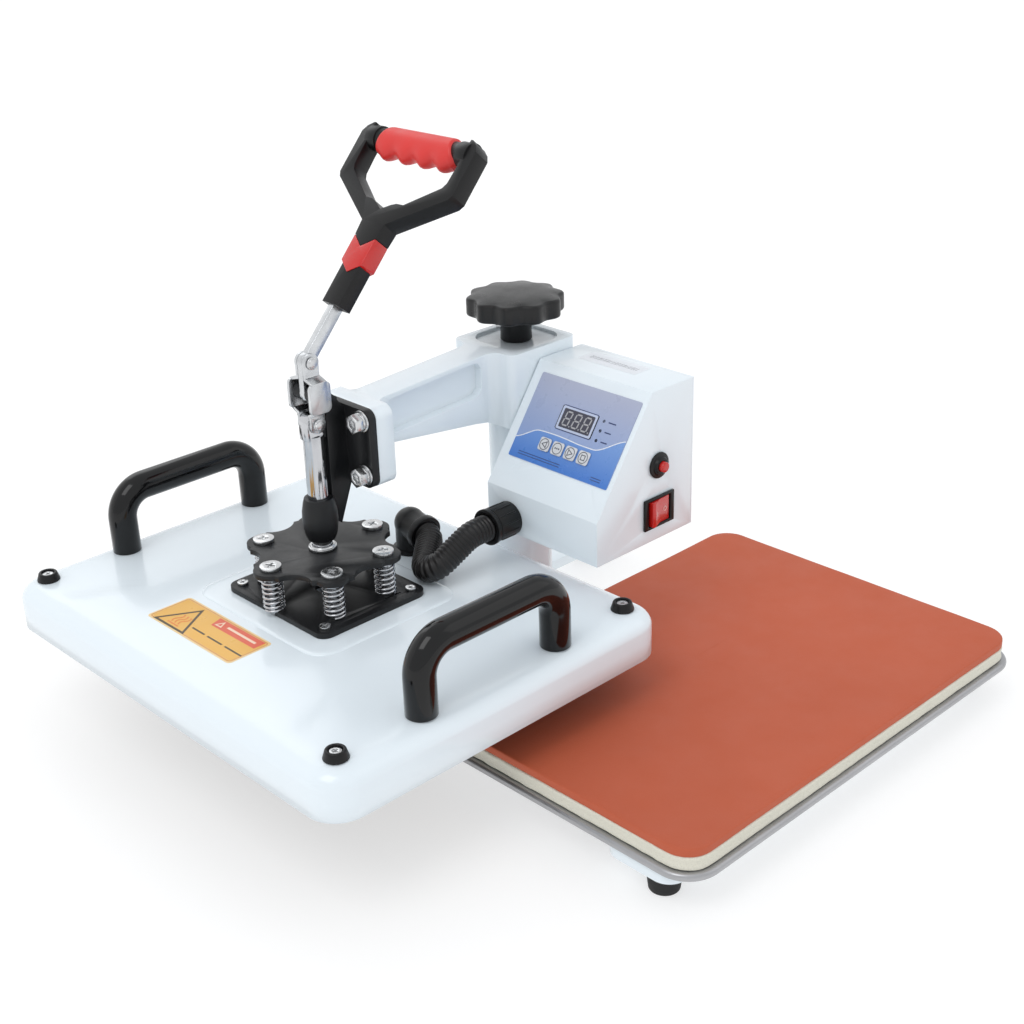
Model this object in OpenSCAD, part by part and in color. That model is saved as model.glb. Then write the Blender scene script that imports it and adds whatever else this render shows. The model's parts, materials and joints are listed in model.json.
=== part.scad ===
// Swing-away flat heat press, millimetres, +Z up, stands on its rubber feet at z = 0.
// Rest pose: arm swung out to -X, head raised, lever back.
// Working part closes by turning the arm 90 degrees about the column to -Y.

/* [Lower platen] */
// width of the silicone pad, left to right
pad_w = 380; // [360:1:400]
// depth of the silicone pad, front to back
pad_d = 280; // [270:1:290]
// thickness of the silicone pad
silicone_t = 6.4; // [5:0.1:8]
// thickness of the foam sheet under it
foam_t = 10.5; // [8:0.1:12]
// thickness of the aluminium tray
tray_t = 5.9; // [5:0.1:8]

/* [Base] */
// height of the rubber feet
foot_h = 16; // [14:1:20]
// thickness of the cast base
base_t = 8.7; // [7:0.1:10]

/* [Arm] */
// distance from the column axis to the head centre
reach = 200; // [198:1:204]
// outside diameter of the column
column_d = 48; // [44:1:52]
// side of the rounded square hub
hub_w = 66; // [62:1:68]

/* [Head] */
// size of the head cover along the arm
head_x = 304; // [296:1:312]
// size of the head cover across the arm
head_y = 392; // [384:1:400]
// thickness of the heating plate
plate_t = 14; // [10:1:16]

/* [Clamp] */
// distance between the lever's fixed pivot and its link pin
crank_r = 22.5; // [22:0.1:23]
// distance between the two link pins
link_l = 45; // [44.6:0.1:45.4]
// lean of the lever bar from vertical at rest
lever_lean = 42; // [38:1:46]

/* [Pressure knob] */
// outside diameter of the lobed knob
knob_d = 76; // [68:1:84]
// number of lobes round the knob
knob_lobes = 10; // [8:1:12]

/* [Hidden] */
$fn = 64;

tray_w = pad_w + 10;
tray_d = pad_d + 10;
base_top = foot_h + base_t;
tray_top = base_top + tray_t;
foam_top = tray_top + foam_t;
pad_top = foam_top + silicone_t;
// column axis, placed so that the whole machine is centred on the origin
col_x = (reach + head_x/2 - tray_w/2)/2;
col_y = (reach + tray_d/2 - head_y/2)/2;

// heights below are measured from the top of the silicone pad
column_top = 152.5;
hub_z0 = 153;
hub_z1 = 213;
hub_x0 = -37;
hub_x1 = 33;
flange_x0 = -168.5;
flange_x1 = -153;
pin_z = 222.5;
link_z = pin_z + crank_r;
clevis_z = link_z - link_l;
rod_r = 7.5;
cover_z0 = 30.6;
cover_z1 = 65;
plate_z0 = 29.8;
mount_z0 = 67;
mount_z1 = 71;
lobed_z0 = 99;
lobed_z1 = 103;
spring_pcr = 46.5;
bar_z = 114;
handle_r = 11;
handle_span = 121.6;
handle_y = 175.3;
elbow_x = 91;
elbow_y = 10;
elbow_z = 88;
cup_x = 129.5;
cup_y = 174.7;
foot_x = 176;
foot_front = 107;
foot_rear = 60;

box_x0 = -67;
box_x1 = 36;
box_y0 = -147;
box_y1 = -34;
box_z0 = 87;
box_z1 = 204.5;
box_crease = 121.5;
box_edge = -8;
sheet = 1.6;
slope_a = atan2(box_z1 - box_crease, box_edge - box_x0);
switch_x = -1;
switch_z = 110.3;
disp_u = 2.5;
disp_v = 13.9;
key_u = -17.3;
key_v = -9.7;
key_gap = 13.1;
lamp_u = 26;
lamp_v = 13.1;
bolt_y = 24;
bolt_z = [159, 199.7];

paint = [0.93, 0.95, 0.96];
black = [0.07, 0.07, 0.08];
steel = [0.75, 0.76, 0.78];
red = [0.82, 0.12, 0.10];

// ---------- helpers ----------
module rrect(w, d, r) {
  square([w - 2*r, d], center = true);
  square([w, d - 2*r], center = true);
  for (sx = [-1, 1], sy = [-1, 1])
    translate([sx*(w/2 - r), sy*(d/2 - r)]) circle(r);
}
module slab(w, d, r, z0, z1) {
  translate([0, 0, z0]) linear_extrude(z1 - z0) rrect(w, d, r);
}
module rod(d, z0, z1) {
  translate([0, 0, z0]) cylinder(d = d, h = z1 - z0);
}
// column axis, heights from the floor
module col_floor() {
  translate([col_x, col_y, 0]) children();
}
// column axis, heights from the pad
module col_pad() {
  translate([col_x, col_y, pad_top]) children();
}
module platen_at() {
  translate([col_x, col_y - reach, 0]) children();
}
module head_at() {
  translate([col_x - reach, col_y, pad_top]) children();
}
// flat plate in the arm's upright plane: 2D x is X, 2D y is Z, thickness along Y
module side_plate(y0, y1) {
  translate([0, y1, 0]) rotate([90, 0, 0]) linear_extrude(y1 - y0) children();
}
// pin along Y at (x, z)
module y_pin(x, z, d, y0, y1) {
  translate([x, y1, z]) rotate([90, 0, 0]) cylinder(d = d, h = y1 - y0);
}
// screw with a flat head and a cross recess, head top at z = 0
module cross_screw(head_d, head_h, shank_d, len) {
  difference() {
    translate([0, 0, -head_h]) cylinder(d = head_d, h = head_h);
    for (a = [0, 90]) rotate(a)
      translate([-head_d*0.24, -head_d*0.05, -head_h*0.45])
        cube([head_d*0.48, head_d*0.1, head_h]);
  }
  translate([0, 0, -len]) cylinder(d = shank_d, h = len - head_h + 0.01);
}
// frame on the sloping panel: x to the operator's right, y up the slope, z out
module slope_at(u, v, w) {
  mx = (box_x0 + box_edge)/2;
  mz = (box_crease + box_z1)/2;
  my = (box_y0 + box_y1)/2;
  c = cos(slope_a);
  s = sin(slope_a);
  col_pad() multmatrix([[0, c, -s, mx], [-1, 0, 0, my], [0, s, c, mz], [0, 0, 0, 1]])
    translate([u, v, w]) children();
}
// frame on the box's right-hand wall: x is X, y is Z, z out to -Y
module wall_at(x, z, w) {
  col_pad() translate([x, box_y0, z]) rotate([90, 0, 0]) translate([0, 0, w]) children();
}
// lever frame: z along the bar from the link pin, x is the bar's thin direction
module bar_at() {
  col_pad() translate([-reach, 0, link_z]) rotate([0, lever_lean, 0]) children();
}

// ---------- base ----------
module foot_spots() {
  for (sx = [-1, 1]) {
    translate([sx*foot_x, -reach - foot_front]) children();
    translate([sx*foot_x*0.8, foot_rear]) children();
  }
}
module rubber_feet() {
  color([0.06, 0.06, 0.06]) col_floor() foot_spots() difference() {
    cylinder(d1 = 21, d2 = 25, h = foot_h);
    translate([0, 0, -1]) cylinder(d = 12, h = 6);
    cylinder(d = 5.1, h = foot_h + 1);
  }
}
module foot_screws() {
  color(steel) col_floor() foot_spots() union() {
    translate([0, 0, 2.5]) cylinder(d = 10, h = 2.5);
    translate([0, 0, 4]) cylinder(d = 5, h = base_top - 6);
  }
}
platen_bolt_x = 100;
platen_bolt_y = 65;
module base_frame() {
  color(paint) col_floor() difference() {
    translate([0, 0, foot_h]) linear_extrude(base_t) difference() {
      union() {
        translate([0, -reach - 96]) rrect(384, 60, 14);
        translate([0, (-reach - 96 + foot_rear)/2]) square([100, reach + 96 + foot_rear], center = true);
        translate([0, -reach]) rrect(250, 180, 12);
        translate([0, foot_rear]) rrect(330, 44, 14);
      }
      foot_spots() circle(d = 5.1);
      for (sx = [-1, 1], sy = [-1, 1]) {
        translate([sx*platen_bolt_x, -reach + sy*platen_bolt_y]) circle(d = 8.1);
        translate([sx*30, sy*30]) circle(d = 8.1);
      }
    }
  }
}
module lower_platen() {
  color([0.72, 0.73, 0.75]) platen_at() difference() {
    slab(tray_w, tray_d, 26, base_top, tray_top);
    for (sx = [-1, 1], sy = [-1, 1])
      translate([sx*platen_bolt_x, sy*platen_bolt_y, base_top - 1]) cylinder(d = 8.1, h = 5);
  }
}
// M8 bolt, underside of the head at z = 0, shank downwards
module base_bolt() {
  translate([0, 0, -12]) cylinder(d = 8, h = 12.1);
  cylinder(d = 14.4, h = 5.3, $fn = 6);
}
module base_bolts() {
  color(steel) col_floor() for (sx = [-1, 1], sy = [-1, 1]) {
    translate([sx*platen_bolt_x, -reach + sy*platen_bolt_y, foot_h]) rotate([180, 0, 0]) base_bolt();
    translate([sx*30, sy*30, base_top + 8]) base_bolt();
  }
}
module foam_pad() {
  color([0.90, 0.88, 0.80]) platen_at() slab(pad_w, pad_d, 20, tray_top, foam_top);
}
module silicone_pad() {
  color([0.78, 0.38, 0.26]) platen_at() slab(pad_w, pad_d, 20, foam_top, pad_top);
}
module column() {
  color(paint) col_floor() difference() {
    union() {
      slab(88, 88, 12, base_top, base_top + 8);
      rod(column_d, base_top, pad_top + column_top);
    }
    rod(30.1, base_top - 1, pad_top + column_top + 1);
    for (sx = [-1, 1], sy = [-1, 1])
      translate([sx*30, sy*30, base_top - 1]) cylinder(d = 8.1, h = 12);
  }
}
module pivot_shaft() {
  color(steel) col_floor() difference() {
    rod(30, base_top, pad_top + 200);
    rod(12.1, pad_top + 100, pad_top + 201);
  }
}

// ---------- column head ----------
module lift_bush() {
  color([0.72, 0.58, 0.32]) col_pad() difference() {
    rod(38, hub_z0 - 0.2, 207.9);
    rod(30.1, hub_z0 - 1, 203);
    rod(12.1, 200, 210);
  }
}
module knob_spindle() {
  color(steel) col_pad() union() {
    rod(12, 120, 236);
    rod(17, 208, 210.3);
  }
}
knob_lobe_r = 8.5;
module pressure_knob() {
  color(black) col_pad() difference() {
    union() {
      rod(24.6, 211, 234);
      translate([0, 0, 232]) linear_extrude(15) difference() {
        union() {
          circle(d = knob_d - 9);
          for (i = [0:knob_lobes - 1]) rotate(i*360/knob_lobes)
            translate([knob_d/2 - knob_lobe_r, 0]) circle(knob_lobe_r);
        }
      }
      translate([0, 0, 247]) cylinder(d1 = knob_d - 10, d2 = knob_d - 26, h = 2.4);
    }
    rod(12.1, 210, 236.5);
    rotate([0, 0, 137]) translate([5, 0, 222]) rotate([0, 90, 0]) cylinder(d = 5.1, h = 12);
  }
}
module knob_set_screw() {
  color(steel) col_pad() rotate([0, 0, 137]) translate([6.2, 0, 222]) rotate([0, 90, 0])
    difference() {
      cylinder(d = 5, h = 9.2);
      translate([0, 0, 7.5]) cylinder(d = 2.6, h = 3, $fn = 6);
    }
}

// ---------- arm ----------
module arm_profile() {
  polygon([[-160, 206.4], [-58, 212.2], [-44, hub_z1], [40, hub_z1], [40, hub_z0],
    [-35, hub_z0], [-46, 158.2], [-58, 160.4], [-160, 173]]);
}
// concave corner between the arm's side at y = 14 and a face at x = 0, towards +X
module arm_fillet(r) {
  for (s = [0, 1]) mirror([0, s, 0]) difference() {
    translate([-1, 13]) square([r + 1, r + 1]);
    translate([r, 14 + r]) circle(r + 0.1);
  }
}
module arm_plan() {
  translate([(hub_x0 + hub_x1)/2, 0]) rrect(hub_x1 - hub_x0, hub_w, 7);
  translate([flange_x1 - 1, -14]) square([hub_x0 - flange_x1 + 2, 28]);
  translate([flange_x1, 0]) arm_fillet(8);
  translate([hub_x0, 0]) mirror([1, 0, 0]) arm_fillet(10);
}
module arm_pocket() {
  polygon([[-144, 183], [-141, 178.2], [-138, 177.4], [-60, 181.4], [-55, 182.6],
    [-51, 187], [-51, 203], [-54, 207.6], [-58, 208.6], [-140, 203.9], [-144, 199.5]]);
}
module arm() {
  color(paint) col_pad() difference() {
    union() {
      intersection() {
        translate([0, 0, hub_z0 - 1]) linear_extrude(62) arm_plan();
        side_plate(-40, 40) arm_profile();
      }
      translate([flange_x0, 0, 178.1]) rotate([0, 90, 0])
        linear_extrude(flange_x1 - flange_x0) rrect(59.2, 63.6, 8);
    }
    for (s = [-1, 1]) side_plate(min(s*7, s*40), max(s*7, s*40)) arm_pocket();
    rod(38.1, hub_z0 - 1, 208);
    rod(19, 200, 214);
    translate([0, 0, 210.6]) linear_extrude(4) rrect(54, 54, 16);
    for (z = bolt_z, s = [-1, 1])
      translate([flange_x0 - 1, s*bolt_y, z]) rotate([0, 90, 0]) cylinder(d = 8.1, h = 30);
    for (z = [170, 196])
      translate([0, -hub_w/2 - 1, z]) rotate([-90, 0, 0]) cylinder(d = 6.1, h = 11);
  }
}
ear_y = 10.2;
web_y = 5;
slot_y = 2.95;
module clamp_bracket() {
  color(black) col_pad() difference() {
    union() {
      translate([flange_x0 - 6, 0, 178.6]) rotate([0, 90, 0]) linear_extrude(6)
        rrect(58.8, 64.6, 7.4);
      side_plate(-web_y, web_y) polygon([[-171.5, 152], [-171.5, 206.5], [-175.5, 206.5],
        [-186, 220], [-190, 207], [-191.2, 204], [-191.2, 124], [-184.5, 119]]);
      side_plate(-ear_y, ear_y) union() {
        polygon([[-184, 216.8], [-197.5, 228.4], [-205.3, 219], [-193.4, 212.4], [-186, 211]]);
        translate([-reach, pin_z]) circle(6.3);
      }
      translate([-reach, 0, 0]) rotate_extrude()
        polygon([[0, 111], [10, 111], [11.6, 115], [12.7, 121], [13, 127], [12.7, 133],
          [11.6, 139], [10.4, 143], [0, 143]]);
    }
    translate([-reach, 0, 100]) cylinder(r = rod_r + 0.05, h = 50);
    translate([-reach - 15, -slot_y, 207]) cube([24, 2*slot_y, 30]);
    y_pin(-reach, pin_z, 6.1, -20, 20);
    for (z = bolt_z, s = [-1, 1])
      translate([flange_x0 - 8, s*bolt_y, z]) rotate([0, 90, 0]) cylinder(d = 8.4, h = 10);
  }
}
module bolt_spots(x) {
  col_pad() for (z = bolt_z, s = [-1, 1]) translate([x, s*bolt_y, z]) rotate([0, 90, 0]) children();
}
// bolt with its spring washer and flat washer
module bracket_bolts() {
  color(steel) bolt_spots(flange_x0 - 6) {
    translate([0, 0, -9.5]) difference() {
      cylinder(d = 14.6, h = 5.7, $fn = 6);
      translate([0, 0, -1]) cylinder(d = 7, h = 4, $fn = 6);
    }
    translate([0, 0, -3.9]) cylinder(d = 8, h = 26);
    for (w = [[-3.7, 13.6, 2], [-1.6, 16, 1.5]]) translate([0, 0, w[0]]) difference() {
      cylinder(d = w[1], h = w[2]);
      translate([0, 0, -1]) cylinder(d = 8.2, h = 4);
    }
  }
}
module pivot_pin() {
  color(steel) col_pad() y_pin(-reach, pin_z, 6, -10.1, 10.1);
}

// ---------- control box ----------
module box_profile(t) {
  dx = t/sin(slope_a);
  k = (box_edge - box_x0)/(box_z1 - box_crease);
  polygon([[box_x0 + t, box_z0 + t], [box_x1 + (t > 0 ? 1 : 0), box_z0 + t],
    [box_x1 + (t > 0 ? 1 : 0), box_z1 - t],
    [box_x0 + k*(box_z1 - t - box_crease) + dx, box_z1 - t],
    [box_x0 + t, box_crease + (t - dx)/k]]);
}
module control_box() {
  difference() {
    color(paint) col_pad() difference() {
      side_plate(box_y0, box_y1) box_profile(0);
      side_plate(box_y0 + sheet, box_y1 - sheet) box_profile(sheet);
      for (z = [170, 196])
        translate([0, box_y1 - 3, z]) rotate([-90, 0, 0]) cylinder(d = 6.4, h = 6);
      translate([box_x0 - 1, gland_y, gland_z]) rotate([0, 90, 0]) cylinder(d = 14.4, h = 4);
    }
    slope_at(disp_u, disp_v, -3) cube([37, 19, 8], center = true);
    for (i = [0:3]) slope_at(key_u + key_gap*i, key_v, -3) cylinder(d = 5, h = 6);
    for (i = [-1, 0, 1]) slope_at(lamp_u, lamp_v + 7.6*i, -3) cylinder(d = 4.3, h = 6);
    wall_at(switch_x, 146.6, -4) cylinder(d = 12.2, h = 8);
    wall_at(switch_x, switch_z, 0) cube([28.4, 22.8, 8], center = true);
  }
}
module box_back_cover() {
  color(paint) col_pad() difference() {
    translate([box_x1 + 0.05, box_y0, box_z0]) cube([1.6, box_y1 - box_y0, box_z1 - box_z0]);
    for (sy = [box_y0 + 8, box_y1 - 8], z = [box_z0 + 8, box_z1 - 8])
      translate([box_x1 - 1, sy, z]) rotate([0, 90, 0]) cylinder(d = 3.1, h = 4);
    translate([box_x1 - 1, -110, 102]) rotate([0, 90, 0]) cylinder(d = 12.2, h = 4);
  }
}
module cover_screws() {
  color(steel) col_pad() for (sy = [box_y0 + 8, box_y1 - 8], z = [box_z0 + 8, box_z1 - 8])
    translate([box_x1 + 3.4, sy, z]) rotate([0, 90, 0]) cross_screw(6, 1.7, 3, 7);
}
module box_bolts() {
  color(steel) col_pad() for (z = [170, 196]) translate([0, box_y1 - sheet - 0.1, z])
    rotate([-90, 0, 0]) union() {
      translate([0, 0, -4]) cylinder(d = 11, h = 4, $fn = 6);
      cylinder(d = 6, h = 10);
    }
}
module control_panel() {
  color([0.30, 0.48, 0.78]) difference() {
    slope_at(2.3, 8, 0.05) linear_extrude(0.5) rrect(100.4, 68, 1.5);
    slope_at(disp_u, disp_v, 0) cube([36.4, 18.4, 4], center = true);
    for (i = [0:3]) slope_at(key_u + key_gap*i, key_v, 0) cube([11.4, 10.6, 4], center = true);
    for (i = [-1, 0, 1]) slope_at(lamp_u, lamp_v + 7.6*i, -3) cylinder(d = 4.3, h = 6);
  }
}
module display_module() {
  color(black) slope_at(disp_u, disp_v, -3.7) cube([36, 18, 9], center = true);
}
module led_lamps() {
  color(black) for (i = [-1, 0, 1]) slope_at(lamp_u, lamp_v + 7.6*i, -7) union() {
    cylinder(d = 4, h = 6.6);
    translate([0, 0, 6.6]) cylinder(d1 = 4, d2 = 2.6, h = 0.9);
  }
}
module circuit_board() {
  color([0.10, 0.35, 0.18]) slope_at(1, 3, -9.9) cube([96, 72, 1.6], center = true);
}
module panel_key(i) {
  color([0.93, 0.93, 0.93]) slope_at(key_u + key_gap*i, key_v, 0) union() {
    translate([0, 0, 0.8]) linear_extrude(1) rrect(11, 10.2, 1.6);
    translate([0, 0, -5]) cylinder(d = 4, h = 6);
  }
}
module key_left() { panel_key(0); }
module key_set() { panel_key(1); }
module key_right() { panel_key(2); }
module key_stop() { panel_key(3); }
module breaker_body() {
  color(black) wall_at(switch_x, 146.6, 0) difference() {
    union() {
      translate([0, 0, 0.05]) cylinder(d = 20, h = 1.6);
      translate([0, 0, 1.6]) cylinder(d1 = 14.5, d2 = 12.6, h = 2.8);
      translate([0, 0, -22]) cylinder(d = 12, h = 22.1);
    }
    translate([0, 0, -6]) cylinder(d = 8.1, h = 12);
  }
}
module breaker_button() {
  color(red) wall_at(switch_x, 146.6, 0) union() {
    translate([0, 0, -2.5]) cylinder(d = 8, h = 9.5);
    translate([0, 0, 7]) cylinder(d1 = 8, d2 = 6.4, h = 0.8);
  }
}
module switch_bezel() {
  color(black) wall_at(switch_x, switch_z, 0) difference() {
    union() {
      translate([0, 0, 1.05]) cube([32.4, 24.4, 2], center = true);
      translate([0, 0, -8]) cube([28, 22.4, 16.2], center = true);
    }
    translate([0, 0, -1]) cube([24, 20, 12], center = true);
  }
}
module switch_rocker() {
  color(red) wall_at(switch_x, switch_z, 0) translate([0, 9.7, 0]) rotate([90, 0, 0])
    linear_extrude(19.4)
      polygon([[-10.8, 5.0], [-8.4, 5.6], [0.3, 1.9], [10.9, 1.4], [10.2, -2.4], [3, -4.2],
        [-3, -4.2], [-10.2, -1.6]]);
}
module power_gland() {
  color(black) col_pad() translate([box_x1 + 1.7, -110, 102]) rotate([0, 90, 0]) difference() {
    union() {
      translate([0, 0, 0.05]) cylinder(d = 18, h = 3, $fn = 6);
      translate([0, 0, 3]) cylinder(d1 = 15, d2 = 11, h = 12);
      translate([0, 0, -8]) cylinder(d = 12, h = 8.1);
      translate([0, 0, -5]) cylinder(d = 17, h = 3, $fn = 6);
    }
    translate([0, 0, 6]) cylinder(d = 7.5, h = 12);
  }
}
gland_y = -57.5;
gland_z = 99;
module conduit_gland_box() {
  color(black) col_pad() translate([box_x0, gland_y, gland_z]) rotate([0, -90, 0]) difference() {
    union() {
      translate([0, 0, 0.05]) cylinder(d = 26.4, h = 20);
      translate([0, 0, 20]) cylinder(d = 25.4, h = 1.5);
      translate([0, 0, 21.4]) cylinder(d = 28, h = 3);
      translate([0, 0, -9]) cylinder(d = 14, h = 9.1);
    }
    translate([0, 0, 18]) cylinder(d = 20.7, h = 8);
  }
}

// ---------- lever and grip ----------
module lever_outline() {
  translate([-reach, pin_z]) circle(6.4);
  translate([-reach, link_z]) circle(6.4);
  translate([-reach - 6.1, pin_z]) square([12.2, crank_r]);
  translate([-reach, link_z]) rotate(-lever_lean) translate([-4.8, 0]) square([9.6, 78]);
}
module lever() {
  color(steel) col_pad() difference() {
    side_plate(-2.6, 2.6) lever_outline();
    y_pin(-reach, pin_z, 6.1, -5, 5);
    y_pin(-reach, link_z, 6.1, -5, 5);
  }
}
module lever_pin() {
  color(steel) col_pad() union() {
    y_pin(-reach, link_z, 6, -5.8, 5.8);
    for (s = [0, 1]) mirror([0, s, 0]) {
      y_pin(-reach, link_z, 9, 5.7, 7);
      y_pin(-reach, link_z, 6.6, 6.9, 7.7);
    }
  }
}
grip_s0 = 43;
module grip_outline() {
  polygon([[0, 88.3], [11, 95.8], [12, 107], [57.5, 134.5], [60, 138.5], [60, 172.5], [57, 177],
    [52, 180.5], [-52, 180.5], [-57, 177], [-60, 172.5], [-60, 138.5], [-57.5, 134.5],
    [-12, 107], [-11, 95.8]]);
}
module grip_opening() {
  polygon([[0, 117.5], [8, 122], [13, 123.8], [20, 124], [47, 142], [49.2, 146], [50, 160],
    [50, 182], [-50, 182], [-50, 160], [-49.2, 146], [-47, 142], [-20, 124], [-13, 123.8],
    [-8, 122]]);
}
grip_bar = 171.5;
// 2D (y, s) into the bar frame, thickness along the bar frame's x
module grip_plate(t) {
  rotate([90, 0, 90]) translate([0, 0, -t/2]) linear_extrude(t) children();
}
module grip_frame() {
  color(black) bar_at() difference() {
    union() {
      grip_plate(14) difference() {
        grip_outline();
        grip_opening();
      }
      translate([-6, -9, grip_s0]) cube([12, 18, 54]);
      translate([0, 51, grip_bar]) rotate([90, 0, 0]) cylinder(d = 16.6, h = 102);
      for (s = [0, 1]) mirror([0, s, 0])
        translate([0, 52.5, grip_bar]) rotate([90, 0, 0]) cylinder(d = 18.8, h = 10);
    }
    translate([-4.85, -2.7, 40]) cube([9.7, 5.4, 38.2]);
  }
}
// red sleeve with four finger waves on its underside
module grip_sleeve() {
  color(red) bar_at() difference() {
    union() {
      translate([0, 38, grip_bar]) rotate([90, 0, 0]) cylinder(d = 20, h = 76);
      for (y = [-30, -10, 10, 30]) translate([0, y + 6, grip_bar - 5]) rotate([90, 0, 0])
        cylinder(d = 18.4, h = 12);
      for (s = [0, 1]) mirror([0, s, 0])
        translate([0, 42, grip_bar - 3.5]) rotate([90, 0, 0]) cylinder(d = 18, h = 6);
    }
    translate([0, 43, grip_bar]) rotate([90, 0, 0]) cylinder(d = 16.7, h = 86);
  }
}
module grip_collar() {
  color(red) bar_at() difference() {
    grip_plate(14.2) polygon([[-11, 75], [0, 67.5], [11, 75], [11, 95.4], [0, 87.9], [-11, 95.4]]);
    translate([-6.05, -9.05, 60]) cube([12.1, 18.1, 50]);
  }
}

// ---------- links ----------
// one stamped link on the +Y side, with a double joggle round the bracket ears
module link_solid() {
  difference() {
    union() {
      side_plate(2.9, 5.3) union() {
        translate([-reach, link_z]) circle(6.4);
        translate([-reach - 6.1, link_z - 10]) square([12.2, 10]);
      }
      side_plate(10.6, 13) translate([-reach, clevis_z + (link_l - 3)/2]) rrect(17.8, link_l - 23, 3.7);
      side_plate(5.3, 7.7) union() {
        translate([-reach, clevis_z]) circle(6.4);
        translate([-reach - 6.1, clevis_z]) square([12.2, 7]);
      }
      translate([-reach - 6.1, 0, 0]) rotate([90, 0, 90]) linear_extrude(12.2)
        polygon([[2.9, link_z - 9.9], [5.3, link_z - 9.9], [13, link_z - 12.6],
          [13, link_z - 14], [10.6, link_z - 14], [2.9, link_z - 11.6]]);
      translate([-reach - 6.3, 0, 0]) rotate([90, 0, 90]) linear_extrude(12.6)
        polygon([[5.3, clevis_z + 6.9], [7.7, clevis_z + 6.9], [13, clevis_z + 9.8],
          [13, clevis_z + 11], [10.6, clevis_z + 11], [5.3, clevis_z + 8.6]]);
    }
    y_pin(-reach, link_z, 6.1, 0, 20);
    y_pin(-reach, clevis_z, 6.1, 0, 20);
  }
}
module links() {
  color(steel) col_pad() for (s = [0, 1]) mirror([0, s, 0]) link_solid();
}
module link_rivets() {
  color(steel) col_pad() for (s = [0, 1]) mirror([0, s, 0]) union() {
    y_pin(-reach, clevis_z, 6, 5.35, 7.8);
    y_pin(-reach, clevis_z, 9, 7.75, 9);
    y_pin(-reach, clevis_z, 6.6, 8.9, 9.7);
  }
}

// ---------- plunger ----------
module plunger() {
  color(steel) col_pad() difference() {
    union() {
      translate([-reach, 0, 0]) rod(2*rod_r, lobed_z0, clevis_z - 9);
      side_plate(-5, 5) union() {
        translate([-reach, clevis_z]) circle(7.8);
        translate([-reach - 7.7, clevis_z - 11.5]) square([15.4, 11.5]);
      }
    }
    y_pin(-reach, clevis_z, 6.1, -8, 8);
  }
}
module clevis_pin() {
  color(steel) col_pad() y_pin(-reach, clevis_z, 6, -4.9, 4.9);
}
module plunger_collar() {
  color(steel) head_at() difference() {
    union() {
      rod(20.6, lobed_z1 + 0.05, lobed_z1 + 2.2);
      translate([0, 0, lobed_z1 + 2.1]) cylinder(d1 = 19.2, d2 = 17.6, h = 1.4);
    }
    rod(15.1, lobed_z0, lobed_z1 + 8);
  }
}
module spring_spots() {
  for (i = [0:5]) rotate(i*60) translate([spring_pcr, 0, 0]) children();
}
module spring_plate() {
  color(black) head_at() translate([0, 0, lobed_z0]) linear_extrude(lobed_z1 - lobed_z0)
    difference() {
      union() {
        difference() {
          circle(53);
          for (i = [0:5]) rotate(i*60 + 30) translate([61, 0]) circle(15.5);
        }
        spring_spots() circle(12.5);
      }
      circle(d = 15.1);
      spring_spots() circle(d = 6.6);
    }
}
module springs() {
  color([0.85, 0.86, 0.88]) head_at() spring_spots() difference() {
    rod(16, mount_z1 + 0.05, lobed_z0 - 0.05);
    rod(12, mount_z1 - 1, lobed_z0 + 1);
  }
}
module spring_screws() {
  color(steel) head_at() spring_spots() translate([0, 0, lobed_z1 + 2.9]) rotate(25)
    cross_screw(15.4, 2.8, 6, 40);
}

// ---------- head ----------
plate_sx = 97;
plate_sy = 116;
module mount_plate() {
  color(black) head_at() translate([0, 0, mount_z0]) linear_extrude(mount_z1 - mount_z0)
    difference() {
      rrect(plate_sx, plate_sy, 9);
      spring_spots() circle(d = 6.1);
      for (sx = [-1, 1], sy = [-1, 1])
        translate([sx*(plate_sx/2 - 9), sy*(plate_sy/2 - 9)]) circle(d = 4.1);
      circle(d = 17);
      translate([24, -47]) square([14, 1.6], center = true);
    }
}
module cover_solid(inset, drop) {
  hull() {
    slab(head_x - 2*inset, head_y - 2*inset, 23 - inset, cover_z0 - drop, 53);
    slab(head_x - 2*inset - 2.6, head_y - 2*inset - 2.6, 22 - inset, 53, 57.5 - inset*0.6);
    slab(head_x - 2*inset - 9, head_y - 2*inset - 9, 20 - inset, 53, 62.2 - inset);
    slab(head_x - 2*inset - 24, head_y - 2*inset - 24, 14 - inset, 53, cover_z1 - inset);
  }
}
module head_cover() {
  color(paint) head_at() difference() {
    union() {
      cover_solid(0, 0);
      slab(128, 148, 16, 60, mount_z0 - 0.05);
    }
    cover_solid(1.8, 2);
    spring_spots() rod(7, 55, 70);
    rod(17, 55, 70);
    for (sx = [-1, 1], sy = [-1, 1]) {
      translate([sx*(plate_sx/2 - 9), sy*(plate_sy/2 - 9), 0]) rod(4.4, 55, 70);
      translate([sx*cup_x, sy*cup_y, 0]) rod(4.4, 55, 70);
      translate([sx*handle_span/2, sy*handle_y, 0]) rod(6.4, 55, 70);
    }
    translate([elbow_x, elbow_y, 0]) rod(12.4, 55, 70);
  }
}
module heating_plate() {
  color([0.45, 0.46, 0.48]) head_at() difference() {
    slab(290, 380, 16, plate_z0, plate_z0 + plate_t);
    for (sx = [-1, 1], sy = [-1, 1])
      translate([sx*cup_x, sy*cup_y, 0]) rod(4.1, plate_z0 + 6, plate_z0 + plate_t + 1);
  }
}
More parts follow.
